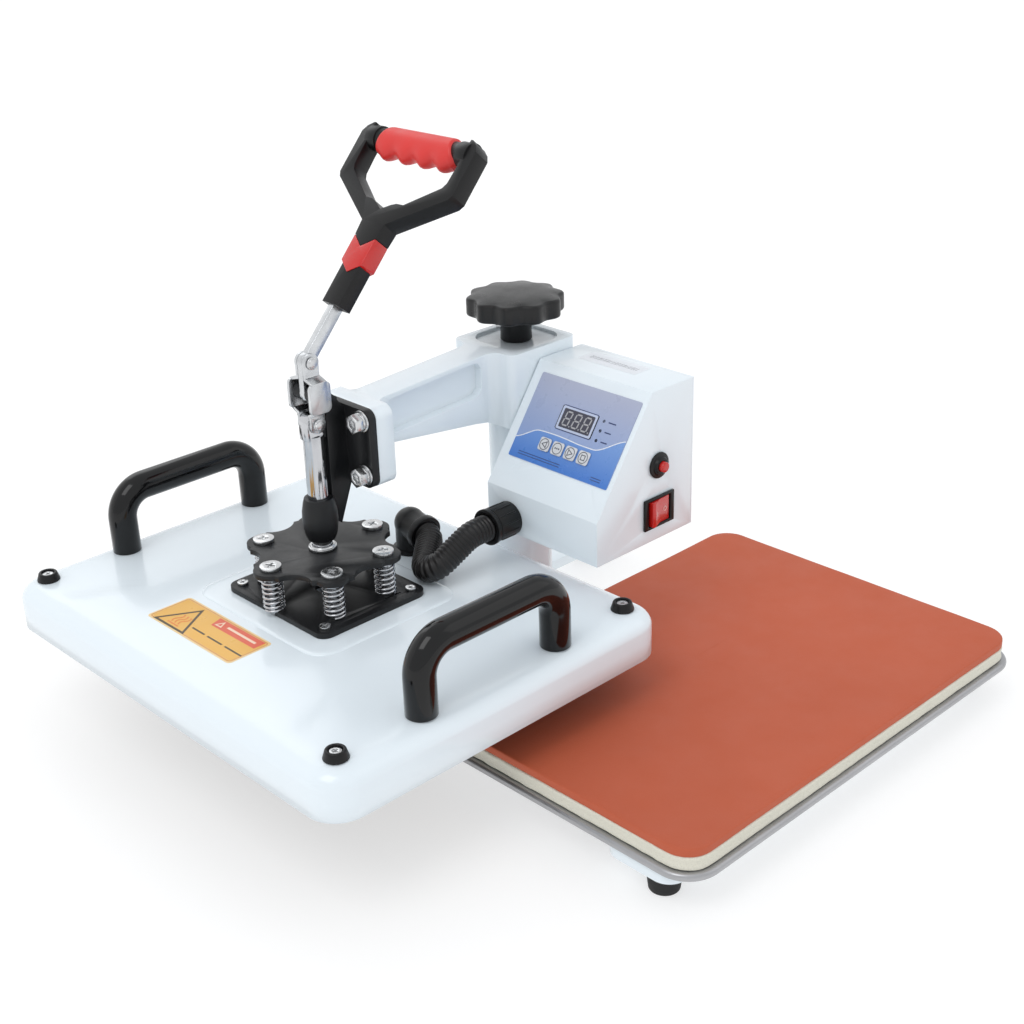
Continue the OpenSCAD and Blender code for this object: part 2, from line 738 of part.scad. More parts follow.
module insulation() {
  color([0.85, 0.83, 0.75]) head_at() difference() {
    slab(276, 366, 12, plate_z0 + plate_t + 0.2, 57);
    for (sx = [-1, 1], sy = [-1, 1])
      translate([sx*cup_x, sy*cup_y, 0]) rod(12, 30, 66);
    for (sx = [-1, 1], sy = [-1, 1])
      translate([sx*handle_span/2, sy*handle_y, 0]) rod(14, 50, 66);
    translate([elbow_x, elbow_y, 0]) rod(20, 50, 66);
  }
}
bend_r = 22;
module u_handle(sy) {
  color(black) head_at() translate([0, sy*handle_y, 0]) difference() {
    union() {
      for (s = [0, 1]) mirror([s, 0, 0]) {
        translate([handle_span/2, 0, 0]) rod(2*handle_r, cover_z1, bar_z - bend_r);
        translate([handle_span/2 - bend_r, 0, bar_z - bend_r]) rotate([90, 0, 0])
          rotate_extrude(angle = 90) translate([bend_r, 0]) circle(handle_r);
      }
      translate([-handle_span/2 + bend_r, 0, bar_z]) rotate([0, 90, 0])
        cylinder(r = handle_r, h = handle_span - 2*bend_r);
    }
    for (s = [-1, 1]) translate([s*handle_span/2, 0, 0]) rod(6.1, 60, 82);
  }
}
module handle_left() { u_handle(1); }
module handle_right() { u_handle(-1); }
module handle_bolts() {
  color(steel) head_at() for (sx = [-1, 1], sy = [-1, 1])
    translate([sx*handle_span/2, sy*handle_y, 0]) {
      rod(6, 60, 80);
      translate([0, 0, 60]) cylinder(d = 11, h = 3.1);
    }
}
module corner_spots() {
  head_at() for (sx = [-1, 1], sy = [-1, 1]) translate([sx*cup_x, sy*cup_y, 0]) children();
}
module corner_cups() {
  color(black) corner_spots() difference() {
    translate([0, 0, cover_z1 + 0.05]) cylinder(d1 = 17.5, d2 = 13.5, h = 6.2);
    rod(4.4, 60, 75);
    rod(9.4, cover_z1 + 3, 75);
  }
}
// M4 cross screws, four in the corner cups and four in the mounting plate
module cap_screws() {
  color(steel) head_at() for (sx = [-1, 1], sy = [-1, 1]) {
    translate([sx*cup_x, sy*cup_y, cover_z1 + 5.2]) cross_screw(8, 2, 4, 12);
    translate([sx*(plate_sx/2 - 9), sy*(plate_sy/2 - 9), mount_z1 + 2.05]) cross_screw(8, 2, 4, 12);
  }
}
module conduit_gland_head() {
  color(black) head_at() translate([elbow_x, elbow_y, 0]) difference() {
    union() {
      rod(29, cover_z1 + 0.05, cover_z1 + 3.5);
      rod(23.6, cover_z1 + 3, elbow_z);
      translate([0, 0, elbow_z]) sphere(12.3);
      rod(12, 56, cover_z1 + 3);
      translate([0, 0, 59.1]) cylinder(d = 18, h = 4, $fn = 6);
      translate([0, 0, elbow_z]) rotate([0, 0, e_turn]) rotate([0, e_tip, 0])
        cylinder(d = 23.8, h = 20);
      translate([0, 0, elbow_z]) rotate([0, 0, e_turn]) rotate([0, e_tip, 0])
        translate([0, 0, 14.5]) cylinder(d = 27.6, h = 5.5);
    }
    translate([0, 0, elbow_z]) rotate([0, 0, e_turn]) rotate([0, e_tip, 0])
      translate([0, 0, 13]) cylinder(d = 20.7, h = 8);
  }
}
module warning_label() {
  color([0.92, 0.70, 0.18]) head_at() translate([-91.8, 17.7, 0])
    slab(37, 102, 3, cover_z1 + 0.02, cover_z1 + 0.3);
}

// ---------- conduit ----------
hose_r = 10.2;
e_turn = -94;
e_tip = 99;
e_dir = [cos(e_turn)*sin(e_tip), sin(e_turn)*sin(e_tip), cos(e_tip)];
e_end = [-reach + elbow_x, elbow_y, elbow_z] + 15*e_dir;
g_end = [box_x0 - 19, gland_y, gland_z];
hose_pts = [g_end, [-108, gland_y, gland_z], [-154, -53, 73.8], e_end + 10.2*e_dir, e_end];
function unit(v) = v/norm(v);
function turn(a, b) = acos(unit(a)*unit(b));
module along(p, q) {
  z = unit(q - p);
  h = abs(z[2]) < 0.9 ? [0, 0, 1] : [1, 0, 0];
  x = unit(cross(h, z));
  y = cross(z, x);
  multmatrix([[x[0], y[0], z[0], p[0]], [x[1], y[1], z[1], p[1]], [x[2], y[2], z[2], p[2]],
    [0, 0, 0, 1]]) children();
}
module hose_elbow(a, v, b, r) {
  u = unit(v - a);
  w = unit(b - v);
  t = r*tan(turn(v - a, b - v)/2);
  n = unit(cross(u, w));
  c = v - t*u + r*cross(n, u);
  x = unit(v - t*u - c);
  y = cross(n, x);
  multmatrix([[x[0], y[0], n[0], c[0]], [x[1], y[1], n[1], c[1]], [x[2], y[2], n[2], c[2]],
    [0, 0, 0, 1]])
    rotate_extrude(angle = turn(v - a, b - v)) translate([r, 0]) circle(hose_r);
}
function hose_cut(i, r) = r[i]*tan(turn(hose_pts[i] - hose_pts[i - 1],
  hose_pts[i + 1] - hose_pts[i])/2);
hose_bends = [0, 20, 10.8, 12, 0];
module conduit() {
  last = len(hose_pts) - 1;
  color(black) col_pad() union() {
    for (i = [1:last - 1])
      hose_elbow(hose_pts[i - 1], hose_pts[i], hose_pts[i + 1], hose_bends[i]);
    for (i = [0:last - 1]) {
      p = hose_pts[i];
      q = hose_pts[i + 1];
      c0 = i == 0 ? 0 : hose_cut(i, hose_bends) - 0.6;
      c1 = i == last - 1 ? 0 : hose_cut(i + 1, hose_bends) - 0.6;
      along(p, q) translate([0, 0, c0]) cylinder(r = hose_r - 0.03, h = norm(q - p) - c0 - c1);
    }
  }
}

rubber_feet();
foot_screws();
base_frame();
lower_platen();
base_bolts();
foam_pad();
silicone_pad();
column();
pivot_shaft();
lift_bush();
knob_spindle();
pressure_knob();
knob_set_screw();
arm();
clamp_bracket();
bracket_bolts();
pivot_pin();
control_box();
box_back_cover();
cover_screws();
box_bolts();
control_panel();
display_module();
led_lamps();
circuit_board();
key_left();
key_set();
key_right();
key_stop();
breaker_body();
breaker_button();
switch_bezel();
switch_rocker();
power_gland();
conduit_gland_box();
lever();
lever_pin();
grip_frame();
grip_sleeve();
grip_collar();
links();
link_rivets();
plunger();
clevis_pin();
plunger_collar();
spring_plate();
springs();
conduit();
mount_plate();
spring_screws();
head_cover();
insulation();
heating_plate();
handle_left();
handle_right();
handle_bolts();
corner_cups();
cap_screws();
conduit_gland_head();
warning_label();
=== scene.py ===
import json
import math

import bmesh
import bpy
from mathutils import Matrix, Vector, noise


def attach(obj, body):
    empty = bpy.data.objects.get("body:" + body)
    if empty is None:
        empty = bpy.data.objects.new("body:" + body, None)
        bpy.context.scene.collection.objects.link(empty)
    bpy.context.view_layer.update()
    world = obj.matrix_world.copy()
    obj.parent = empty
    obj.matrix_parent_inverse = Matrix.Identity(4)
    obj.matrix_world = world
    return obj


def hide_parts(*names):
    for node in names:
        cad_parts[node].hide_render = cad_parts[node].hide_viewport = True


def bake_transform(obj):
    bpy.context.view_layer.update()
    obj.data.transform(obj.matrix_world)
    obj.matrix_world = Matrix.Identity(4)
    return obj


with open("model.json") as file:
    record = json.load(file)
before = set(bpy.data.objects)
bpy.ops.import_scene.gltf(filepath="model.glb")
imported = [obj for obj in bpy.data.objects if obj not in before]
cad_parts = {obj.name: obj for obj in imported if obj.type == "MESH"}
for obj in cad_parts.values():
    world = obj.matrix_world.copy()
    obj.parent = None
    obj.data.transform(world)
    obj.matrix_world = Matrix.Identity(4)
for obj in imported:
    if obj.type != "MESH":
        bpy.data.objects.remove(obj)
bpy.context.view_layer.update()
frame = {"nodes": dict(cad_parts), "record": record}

MM = 0.001
# column axis and the top of the silicone pad, in the row frame
COL = Vector((0.0785, 0.0745, 0.0))
PAD_TOP = 0.0475
# from the column axis to the middle of the head and of the lower platen
REACH = 200.0


def at(x, y, z):
    """Millimetres from the column axis, heights from the pad's top, to the row frame."""
    return Vector((COL.x + x * MM, COL.y + y * MM, PAD_TOP + z * MM))


# ---------------------------------------------------------------- camera
CAMERA_AT = (-0.72415, -0.76482, 0.64651)
YAW, PITCH, ROLL = 46.66, 24.78, -1.86
FOCAL_PIXELS, IMAGE_PIXELS, SENSOR = 1570.36, 1024, 36.0


def make_camera():
    yaw, pitch, roll = (math.radians(a) for a in (YAW, PITCH, ROLL))
    ahead = Vector((math.cos(yaw) * math.cos(pitch), math.sin(yaw) * math.cos(pitch),
                    -math.sin(pitch)))
    right = Vector((math.sin(yaw), -math.cos(yaw), 0.0))
    up = right.cross(ahead)
    r2 = right * math.cos(roll) + up * math.sin(roll)
    u2 = up * math.cos(roll) - right * math.sin(roll)
    data = bpy.data.cameras.new("camera")
    data.sensor_width = SENSOR
    data.lens = SENSOR * FOCAL_PIXELS / IMAGE_PIXELS
    data.clip_end = 50
    cam = bpy.data.objects.new("camera", data)
    m = Matrix((r2, u2, -ahead)).transposed().to_4x4()
    m.translation = Vector(CAMERA_AT)
    cam.matrix_world = m
    bpy.context.collection.objects.link(cam)
    bpy.context.scene.camera = cam


make_camera()


# ---------------------------------------------------------------- materials
# most of a noise texture's values lie between these
NOISE_LOW, NOISE_HIGH = 0.3, 0.7


class Nodes:
    """Small helper to write a material's node tree."""

    def __init__(self, name):
        self.mat = bpy.data.materials.new(name)
        self.mat.use_nodes = True
        self.tree = self.mat.node_tree
        self.tree.nodes.clear()
        self.out = self.add("ShaderNodeOutputMaterial")
        self.bsdf = self.add("ShaderNodeBsdfPrincipled")
        self.link(self.bsdf, "BSDF", self.out, "Surface")
        self.coord = self.add("ShaderNodeTexCoord")

    def add(self, kind):
        return self.tree.nodes.new(kind)

    def link(self, a, out, b, inp):
        self.tree.links.new(a.outputs[out], b.inputs[inp])

    def place(self, scale=(1, 1, 1)):
        m = self.add("ShaderNodeMapping")
        m.inputs["Scale"].default_value = scale
        self.link(self.coord, "Object", m, "Vector")
        return m

    def noise(self, scale, detail=3, rough=0.55, stretch=(1, 1, 1)):
        n = self.add("ShaderNodeTexNoise")
        n.inputs["Scale"].default_value = scale
        n.inputs["Detail"].default_value = detail
        n.inputs["Roughness"].default_value = rough
        self.link(self.place(stretch), "Vector", n, "Vector")
        return n

    def voronoi(self, scale):
        n = self.add("ShaderNodeTexVoronoi")
        n.inputs["Scale"].default_value = scale
        self.link(self.place(), "Vector", n, "Vector")
        return n

    def ramp(self, src, out, stops):
        r = self.add("ShaderNodeValToRGB")
        el = r.color_ramp.elements
        while len(el) > 1:
            el.remove(el[-1])
        el[0].position, el[0].color = stops[0][0], rgba(stops[0][1])
        for p, c in stops[1:]:
            e = el.new(p)
            e.color = rgba(c)
        self.link(src, out, r, "Fac")
        return r

    def mapped(self, src, out, a, b):
        m = self.add("ShaderNodeMapRange")
        m.inputs["From Min"].default_value = NOISE_LOW
        m.inputs["From Max"].default_value = NOISE_HIGH
        m.inputs["To Min"].default_value = a
        m.inputs["To Max"].default_value = b
        self.link(src, out, m, "Value")
        return m

    def bump(self, src, out, depth, strength=1.0, below=None):
        b = self.add("ShaderNodeBump")
        b.inputs["Strength"].default_value = strength
        b.inputs["Distance"].default_value = depth
        self.link(src, out, b, "Height")
        if below is not None:
            self.link(below, "Normal", b, "Normal")
        self.link(b, "Normal", self.bsdf, "Normal")
        return b

    def set(self, **values):
        for k, v in values.items():
            self.bsdf.inputs[k.replace("_", " ")].default_value = v


def rgba(c):
    if not hasattr(c, "__len__"):
        return (c, c, c, 1.0)
    return (c[0], c[1], c[2], 1.0)


def srgb(r, g, b):
    def f(v):
        v /= 255
        return v / 12.92 if v <= 0.04045 else ((v + 0.055) / 1.055) ** 2.4
    return (f(r), f(g), f(b))


def shade(c, k):
    return tuple(min(1.0, v * k) for v in c)


def drift(n, src, color, low, high):
    """The base colour, shifting slowly between two shades of one colour."""
    tint = n.ramp(src, "Fac", [(NOISE_LOW, shade(color, low)), (NOISE_HIGH, shade(color, high))])
    n.link(tint, "Color", n.bsdf, "Base Color")


def surface(name, color, rough, metal=0.0, vary=0.05, vary_scale=9, spread=0.06, grain=2500,
            depth=0.00001, stretch=(1, 1, 1), coat=0.0, coat_rough=0.1, spec=0.5):
    """A plain finish with slow colour drift, uneven gloss and a fine grain."""
    n = Nodes(name)
    n.set(Metallic=metal, Coat_Weight=coat, Coat_Roughness=coat_rough, Specular_IOR_Level=spec)
    drift(n, n.noise(vary_scale, 4), color, 1 - vary, 1 + vary)
    fine = n.noise(grain, 3, 0.6, stretch)
    mixed = n.noise(60, 5, 0.6, stretch)
    r = n.mapped(mixed, "Fac", max(0.02, rough - spread), rough + spread)
    n.link(r, "Result", n.bsdf, "Roughness")
    n.bump(fine, "Fac", depth)
    return n.mat


def gradient(name, low, high, rough=0.3):
    """A printed film that fades from one colour at its foot to another at its top."""
    n = Nodes(name)
    sep = n.add("ShaderNodeSeparateXYZ")
    n.link(n.coord, "Generated", sep, "Vector")
    middle = tuple((a + b) / 2 for a, b in zip(low, high))
    fade = n.ramp(sep, "Z", [(0.0, low), (0.45, middle), (1.0, high)])
    n.link(fade, "Color", n.bsdf, "Base Color")
    r = n.mapped(n.noise(90, 3), "Fac", rough - 0.05, rough + 0.05)
    n.link(r, "Result", n.bsdf, "Roughness")
    n.bump(n.noise(1500, 2), "Fac", 0.000006)
    return n.mat


def woven(name, color, rough):
    """Silicone rubber cast on fine cloth: a faint regular weave and slow uneven colour."""
    n = Nodes(name)
    n.set(Specular_IOR_Level=0.35)
    drift(n, n.noise(7, 4), color, 0.955, 1.035)
    r = n.mapped(n.noise(35, 5), "Fac", rough - 0.06, rough + 0.08)
    n.link(r, "Result", n.bsdf, "Roughness")
    speck = n.voronoi(900)
    first = n.bump(speck, "Distance", 0.00006, 0.5)
    n.bump(n.noise(2300, 3, 0.6), "Fac", 0.00006, 0.6, below=first)
    return n.mat


def sponge(name, color):
    """Open-cell foam: small pits all over, with painted shade darkening the pits and a slight
    painted highlight on the ridges between them.
    """
    n = Nodes(name)
    cells = n.voronoi(1100)
    # painted shade and highlight: the colour darkens towards the bottom of each pit and lightens a
    # little on the ridges
    tint = n.ramp(cells, "Distance",
                  [(0.0, shade(color, 0.80)), (0.25, color), (0.8, shade(color, 1.05))])
    n.link(tint, "Color", n.bsdf, "Base Color")
    n.set(Specular_IOR_Level=0.2)
    r = n.mapped(n.noise(60, 4), "Fac", 0.86, 0.97)
    n.link(r, "Result", n.bsdf, "Roughness")
    first = n.bump(cells, "Distance", 0.00035, 0.8)
    n.bump(n.noise(500, 4), "Fac", 0.0003, 0.5, below=first)
    return n.mat


M = {}


def paint(name, color, rough, **look):
    M[name] = surface(name, srgb(*color), rough, **look)


paint("white_paint", (230, 239, 245), 0.22, vary=0.008, vary_scale=4, spread=0.03, grain=140,
      depth=0.000012, coat=0.25, coat_rough=0.08)
paint("black_paint", (22, 23, 25), 0.40, vary=0.10, grain=1500, depth=0.00002, spec=0.35)
paint("black_gloss", (9, 9, 10), 0.12, vary=0.10, grain=200, coat=0.15, coat_rough=0.05, spec=0.3)
paint("zinc", (204, 205, 206), 0.25, metal=1.0, vary=0.08, vary_scale=40, spread=0.08, grain=1800)
paint("stamped_zinc", (206, 208, 210), 0.27, metal=1.0, vary=0.14, vary_scale=70, spread=0.12,
      grain=700, depth=0.00004)
paint("chrome", (196, 197, 200), 0.13, metal=1.0, vary=0.06, vary_scale=60, spread=0.05,
      grain=1200, depth=0.000004)
paint("tray", (172, 172, 174), 0.36, metal=0.8, vary=0.07, vary_scale=22, spread=0.08,
      grain=1300, depth=0.00004)
paint("plate_coat", (70, 66, 62), 0.42, metal=0.5, vary=0.12, vary_scale=30)
paint("brass", (196, 160, 92), 0.28, metal=1.0, vary=0.08, vary_scale=50, stretch=(1, 1, 20))
paint("foot_rubber", (24, 24, 25), 0.75, vary=0.15, grain=900, depth=0.00008)
paint("black_plastic", (15, 15, 16), 0.36, vary=0.10, grain=1900, depth=0.00004, spec=0.32)
paint("knob_black", (17, 17, 18), 0.32, vary=0.08, vary_scale=30, grain=2600, depth=0.00005,
      spec=0.4)
paint("hose", (24, 22, 22), 0.38, vary=0.12, vary_scale=60, grain=1800, depth=0.00002, spec=0.4)
paint("red_plastic", (196, 26, 22), 0.22, grain=1500, depth=0.00002, coat=0.3)
paint("red_grip", (214, 46, 42), 0.42, vary=0.04, vary_scale=30, grain=1700, depth=0.00004)
paint("key_white", (208, 210, 214), 0.35, vary=0.03)
paint("board", (30, 92, 52), 0.4, vary=0.15, vary_scale=300)
paint("fibre", (214, 206, 180), 0.9, vary=0.12, vary_scale=90, grain=600, depth=0.0004)
M["silicone"] = woven("silicone", srgb(190, 92, 62), 0.60)
M["foam"] = sponge("foam", srgb(222, 219, 205))
M["film"] = gradient("film", srgb(120, 152, 208), srgb(172, 178, 200))
M["film_blue"] = gradient("film_blue", srgb(62, 118, 200), srgb(122, 158, 214))
paint("label", (232, 178, 78), 0.32, vary=0.03)
INKS = {
    "label_edge": (236, 206, 150), "label_line": (214, 138, 60), "ink_brown": (74, 58, 30),
    "ink_orange": (226, 128, 52), "ink_red": (224, 96, 66), "ink_pale": (246, 214, 190),
    "print_navy": (44, 58, 104), "print_white": (226, 230, 236), "print_grey": (84, 86, 96),
    "print_lilac": (186, 196, 220), "window": (62, 62, 76), "segment": (168, 168, 172),
    "print_pale_red": (238, 196, 190),
}
for ink, color in INKS.items():
    paint(ink, color, 0.34, vary=0.03, vary_scale=80, spread=0.04, depth=0.000003)

NODE_MATERIAL = {
    "white_paint": "base_frame column arm control_box box_back_cover head_cover",
    "black_paint": "clamp_bracket spring_plate mount_plate",
    "black_gloss": "handle_left handle_right",
    "zinc": "foot_screws base_bolts knob_spindle knob_set_screw bracket_bolts pivot_pin "
            "cover_screws box_bolts lever_pin link_rivets clevis_pin plunger_collar spring_screws "
            "handle_bolts cap_screws",
    "stamped_zinc": "lever links",
    "chrome": "pivot_shaft plunger springs",
    "tray": "lower_platen",
    "plate_coat": "heating_plate",
    "brass": "lift_bush",
    "foot_rubber": "rubber_feet",
    "silicone": "silicone_pad",
    "foam": "foam_pad",
    "fibre": "insulation",
    "black_plastic": "pressure_knob grip_frame corner_cups conduit_gland_head conduit_gland_box "
                     "power_gland conduit display_module breaker_body switch_bezel led_lamps",
    "red_plastic": "grip_sleeve grip_collar switch_rocker breaker_button",
    "key_white": "key_left key_set key_right key_stop",
    "film": "control_panel",
    "label": "warning_label",
    "board": "circuit_board",
}
PAINT = {n: M[k] for k, names in NODE_MATERIAL.items() for n in names.split()}
for node_name, obj in frame["nodes"].items():
    obj.data.materials.clear()
    obj.data.materials.append(PAINT[node_name])


# ---------------------------------------------------------------- helpers
def body_of(node):
    for b, names in frame["record"]["behaviour"]["bodies"].items():
        if node in names:
            return b
    raise KeyError(node)


def finish_mesh(bm, name, mat, smooth=35):
    me = bpy.data.meshes.new(name)
    bm.to_mesh(me)
    bm.free()
    for p in me.polygons:
        p.use_smooth = True
    me.set_sharp_from_angle(angle=math.radians(smooth))
    ob = bpy.data.objects.new(name, me)
    bpy.context.collection.objects.link(ob)
    me.materials.append(mat)
    return ob


def settle(ob, *nodes):
    """The piece rides on its nodes' body and stands for them."""
    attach(ob, body_of(nodes[0]))
    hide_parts(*nodes)
    return ob


# edges flatter than the first are joined away, edges sharper than the second are rounded, degrees
FLAT_EDGE, HARD_EDGE = 0.6, 32


def soften(node, width):
    """The CAD node's own shape with its hard edges rounded."""
    src = frame["nodes"][node]
    bm = bmesh.new()
    bm.from_mesh(src.data)
    bmesh.ops.remove_doubles(bm, verts=bm.verts, dist=1e-6)
    bmesh.ops.dissolve_limit(bm, angle_limit=math.radians(FLAT_EDGE), verts=bm.verts,
                             edges=bm.edges)
    edges = [e for e in bm.edges
             if len(e.link_faces) == 2 and e.calc_face_angle(0) > math.radians(HARD_EDGE)]
    bmesh.ops.bevel(bm, geom=edges, offset=width * MM, segments=2, profile=0.5, affect="EDGES",
                    clamp_overlap=True, loop_slide=True, miter_outer="ARC")
    settle(finish_mesh(bm, node + "_body", PAINT[node]), node)


# the radius of each node's edges, millimetres
SOFT_EDGES = {
    "arm": 1.8, "clamp_bracket": 1.2, "control_box": 1.3, "box_back_cover": 0.5,
    "spring_plate": 0.6, "mount_plate": 0.6, "grip_frame": 2.6, "grip_collar": 0.5, "lever": 0.7,
    "links": 0.6, "bracket_bolts": 0.5, "switch_bezel": 0.5, "switch_rocker": 0.5,
    "conduit_gland_box": 0.5, "conduit_gland_head": 0.8, "base_frame": 1.0, "column": 0.5,
    "spring_screws": 0.5, "cap_screws": 0.25, "corner_cups": 0.6, "plunger": 0.5,
    "plunger_collar": 0.4, "lever_pin": 0.4, "link_rivets": 0.4, "breaker_body": 0.5,
    "breaker_button": 0.6, "rubber_feet": 0.8, "power_gland": 0.4, "handle_left": 0.6,
    "handle_right": 0.6, "heating_plate": 0.8, "insulation": 0.8, "foot_screws": 0.3,
    "base_bolts": 0.4,
}
for node_name, width in SOFT_EDGES.items():
    soften(node_name, width)


# ---------------------------------------------------------------- shapes
def rect_ring(w, d, r, arc=8, side=8):
    """Rounded rectangle as a function of how far it is inset, anticlockwise, millimetres."""
    def ring(inset):
        q = max(r - inset, 0.6)
        hx, hy = w / 2 - inset - q, d / 2 - inset - q
        corners = []
        for cx, cy, a0 in ((hx, hy, 0), (-hx, hy, 90), (-hx, -hy, 180), (hx, -hy, 270)):
            corners.append([(cx + q * math.cos(math.radians(a0 + 90 * i / arc)),
                             cy + q * math.sin(math.radians(a0 + 90 * i / arc)))
                            for i in range(arc + 1)])
        pts = []
        for k, c in enumerate(corners):
            pts += c
            p, n = c[-1], corners[(k + 1) % 4][0]
            pts += [(p[0] + (n[0] - p[0]) * i / side, p[1] + (n[1] - p[1]) * i / side)
                    for i in range(1, side)]
        return pts
    return ring


def rounded(r, start, end, steps=4):
    """Part of a quarter-round profile, (inset, height): angle 0 is outermost, 90 topmost."""
    return [(r - r * math.cos(math.radians(a)), r * math.sin(math.radians(a)))
            for a in (start + (end - start) * i / steps for i in range(steps + 1))]


def skin(bm, rows):
    """Faces between equal rings of vertices, and a lid at each end."""
    for a, b in zip(rows, rows[1:]):
        for i in range(len(a)):
            j = (i + 1) % len(a)
            bm.faces.new((a[i], a[j], b[j], b[i]))
    bm.faces.new(list(reversed(rows[0])))
    bm.faces.new(rows[-1])


def loft(name, ring, profile, mat, place, warp=None, smooth=35):
    """A closed skin: the ring repeated at every (inset, height) of the profile, upwards."""
    bm = bmesh.new()
    rows = []
    for inset, z in profile:
        row = []
        for x, y in ring(inset):
            row.append(bm.verts.new(place(*(warp(x, y, z) if warp else (x, y, z)))))
        rows.append(row)
    skin(bm, rows)
    return finish_mesh(bm, name, mat, smooth)


def tube_into(bm, points, radius, sides=14):
    """A capped tube along the points, in metres. radius is one number, or one for each point."""
    n = len(points)
    radii = radius if hasattr(radius, "__len__") else [radius] * n
    axis = (points[1] - points[0]).normalized()
    side = axis.orthogonal().normalized()
    rows = []
    for i, p in enumerate(points):
        along = (points[min(i + 1, n - 1)] - points[max(i - 1, 0)]).normalized()
        side = (side - along * side.dot(along)).normalized()
        other = along.cross(side)
        rows.append([bm.verts.new(p + (side * math.cos(t) + other * math.sin(t)) * radii[i])
                     for t in (2 * math.pi * k / sides for k in range(sides))])
    skin(bm, rows)


def stroke(points, width, closed=False):
    """Quads of a line of that width through 2D points."""
    pts = [Vector(p) for p in points]
    n = len(pts)
    left, right = [], []
    for i, p in enumerate(pts):
        a = pts[(i - 1) % n] if closed or i > 0 else p
        b = pts[(i + 1) % n] if closed or i < n - 1 else p
        d1 = (p - a).normalized() if p != a else (b - p).normalized()
        d2 = (b - p).normalized() if p != b else d1
        mid = (d1 + d2).normalized()
        k = width / 2 / max(0.35, mid.dot(d1))
        nrm = Vector((-mid.y, mid.x)) * k
        left.append(p + nrm)
        right.append(p - nrm)
    last = n if closed else n - 1
    return [[right[i], right[(i + 1) % n], left[(i + 1) % n], left[i]] for i in range(last)]


def circle(cx, cy, r, n):
    return [(cx + r * math.cos(math.radians(360 * i / n)),
             cy + r * math.sin(math.radians(360 * i / n))) for i in range(n)]


def decal(name, shapes, mat, place, lift, thick=0.08, body="swing_arm", *, slot_name):
    """Thin printed shapes: 2D polygons laid on a surface, their tops lift above it."""
    bm = bmesh.new()
    for poly in shapes:
        low = [bm.verts.new(place(p[0], p[1], lift - thick)) for p in poly]
        top = [bm.verts.new(place(p[0], p[1], lift)) for p in poly]
        bm.faces.new(top)
        bm.faces.new(list(reversed(low)))
        for i in range(len(poly)):
            j = (i + 1) % len(poly)
            bm.faces.new((low[i], low[j], top[j], top[i]))
    bmesh.ops.recalc_face_normals(bm, faces=bm.faces)
    ob = finish_mesh(bm, name, mat, 20)
    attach(ob, body)


def head(x, y, z):
    """Like at(), but from the middle of the head as it stands at rest."""
    return at(x - REACH, y, z)


def platen(x, y, z):
    """Like at(), but from the middle of the lower platen."""
    return at(x, y - REACH, z)


# the sloping panel of the control box: u to the operator's right, v up the slope, w out
BOX = {"x0": -67.0, "edge": -8.0, "y0": -147.0, "y1": -34.0, "crease": 121.5, "top": 204.5}
SLOPE = math.atan2(BOX["top"] - BOX["crease"], BOX["edge"] - BOX["x0"])


def panel(u, v, w):
    c, s = math.cos(SLOPE), math.sin(SLOPE)
    mx, mz = (BOX["x0"] + BOX["edge"]) / 2, (BOX["crease"] + BOX["top"]) / 2
    return at(mx + c * v - s * w, (BOX["y0"] + BOX["y1"]) / 2 - u, mz + s * v + c * w)


def wall(x, z, w):
    """The box's right-hand wall, w out."""
    return at(x, BOX["y0"] - w, z)


LEAN = math.radians(42)
LINK_PIN_Z = 245.0


def bar(n, y, s):
    """The lever's own frame: n across the bar, s along it from the link pin."""
    return at(-REACH + s * math.sin(LEAN) + n * math.cos(LEAN), y,
              LINK_PIN_Z + s * math.cos(LEAN) - n * math.sin(LEAN))


# ---------------------------------------------------------------- lower platen
PAD_W, PAD_D = 380.0, 280.0
SILICONE, FOAM, TRAY = 6.4, 10.5, 5.9


def wobble(amount, scale, seed):
    """A small uneven shift of a soft sheet's surface."""
    def warp(x, y, z):
        k = noise.noise(Vector((x / scale, y / scale, seed + z * 0.05)))
        e = noise.noise(Vector((y / scale + 7, x / scale, seed)))
        return (x + amount * 0.6 * k, y + amount * 0.6 * e, z + amount * k)
    return warp


def make_platen():
    z1 = -SILICONE
    z2 = z1 - FOAM
    z3 = z2 - TRAY
    edge = 1.1
    profile = [(60, z1)] + [(i, z1 + edge - h) for i, h in reversed(rounded(edge, 0, 90, 3))]
    profile += [(i, -edge + h) for i, h in rounded(edge, 0, 90, 3)]
    profile += [(i, 0) for i in (6, 20, 50, 90, 125)]
    ob = settle(loft("silicone_sheet", rect_ring(PAD_W, PAD_D, 20, 10, 24), profile,
                     M["silicone"], platen, wobble(0.35, 60, 3)), "silicone_pad")
    edge = 1.6
    profile = [(60, z2)] + [(i, z2 + edge - h) for i, h in reversed(rounded(edge, 0, 90, 3))]
    profile += [(0.5, z2 + 3.4), (0.7, z2 + 5.2), (0.5, z2 + 7)]
    profile += [(i, z1 - edge + h) for i, h in rounded(edge, 0, 90, 3)] + [(60, z1)]
    ob = settle(loft("foam_sheet", rect_ring(PAD_W + 0.6, PAD_D + 0.6, 20, 10, 60), profile,
                     M["foam"], platen, wobble(0.45, 9, 5)), "foam_pad")
    r = TRAY / 2
    profile = [(40, z3), (r + 6, z3)]
    profile += [(i, z3 + r - h) for i, h in reversed(rounded(r, 0, 90, 6))]
    profile += [(i, z2 - r + h) for i, h in rounded(r, 0, 90, 6)][1:]
    profile += [(r + 3, z2 - 0.3), (30, z2 - 0.3)]
    settle(loft("tray_rim", rect_ring(PAD_W + 10, PAD_D + 10, 26, 12, 4), profile, M["tray"],
                platen), "lower_platen")


make_platen()


# ---------------------------------------------------------------- head cover
# outline of the cover and of the raised step in its middle
COVER_X, COVER_Y = 304.0, 392.0
STEP_X, STEP_Y = 133, 153
# height of the cover's ends above the pad, and how far its middle is pressed up
DECK = 65.0
SWELL = 1.0


